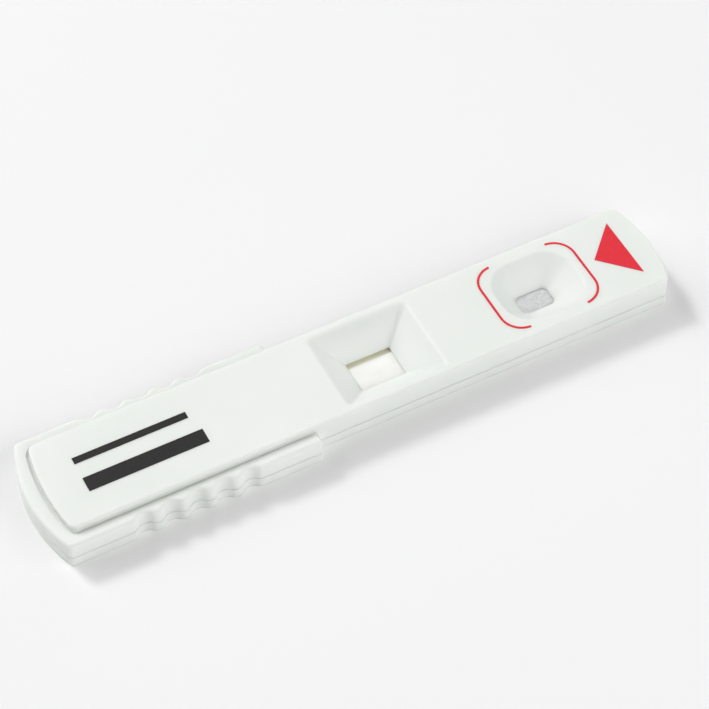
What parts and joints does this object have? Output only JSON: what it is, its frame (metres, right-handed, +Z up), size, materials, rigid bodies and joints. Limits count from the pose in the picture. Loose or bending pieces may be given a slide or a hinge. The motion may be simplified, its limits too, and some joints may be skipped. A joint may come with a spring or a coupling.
{
  "type": "d-dimer test strip",
  "caption": "Flat white test cassette with a sample well, a funnel-shaped read window and scalloped grip wings around a lateral-flow strip.",
  "frame": {"origin": "on the table, under the middle of the cassette's length and width", "axes": "+X along the length from the grip wings to the tip that goes into the reader, +Y across, +Z up through the read window"},
  "size_m": [0.098, 0.0194, 0.0057],
  "materials": {
    "shell_white": "satin moulded polystyrene",
    "carrier_olive": "printed polyester foil",
    "membrane_white": "matt nitrocellulose",
    "fleece_white": "matt fleece",
    "gold_fleece": "fleece with dried gold conjugate",
    "glass_fibre": "matt glass fibre",
    "clear_tape": "clear film",
    "ink_red": "pad-printed ink",
    "ink_black": "pad-printed ink"
  },
  "bodies": {
    "root": {"upper_shell": "shell_white", "lower_shell": "shell_white", "carrier_foil": "carrier_olive", "detection_membrane": "membrane_white", "absorbent_pad": "fleece_white", "biotin_pad": "fleece_white", "gold_conjugate_pad": "gold_fleece", "separation_pad": "glass_fibre", "sample_pad": "glass_fibre", "cover_tape": "clear_tape", "well_brackets": "ink_red", "insert_arrow": "ink_red", "label_bar_thin": "ink_black", "label_bar_thick": "ink_black"}
  },
  "joints": []
}
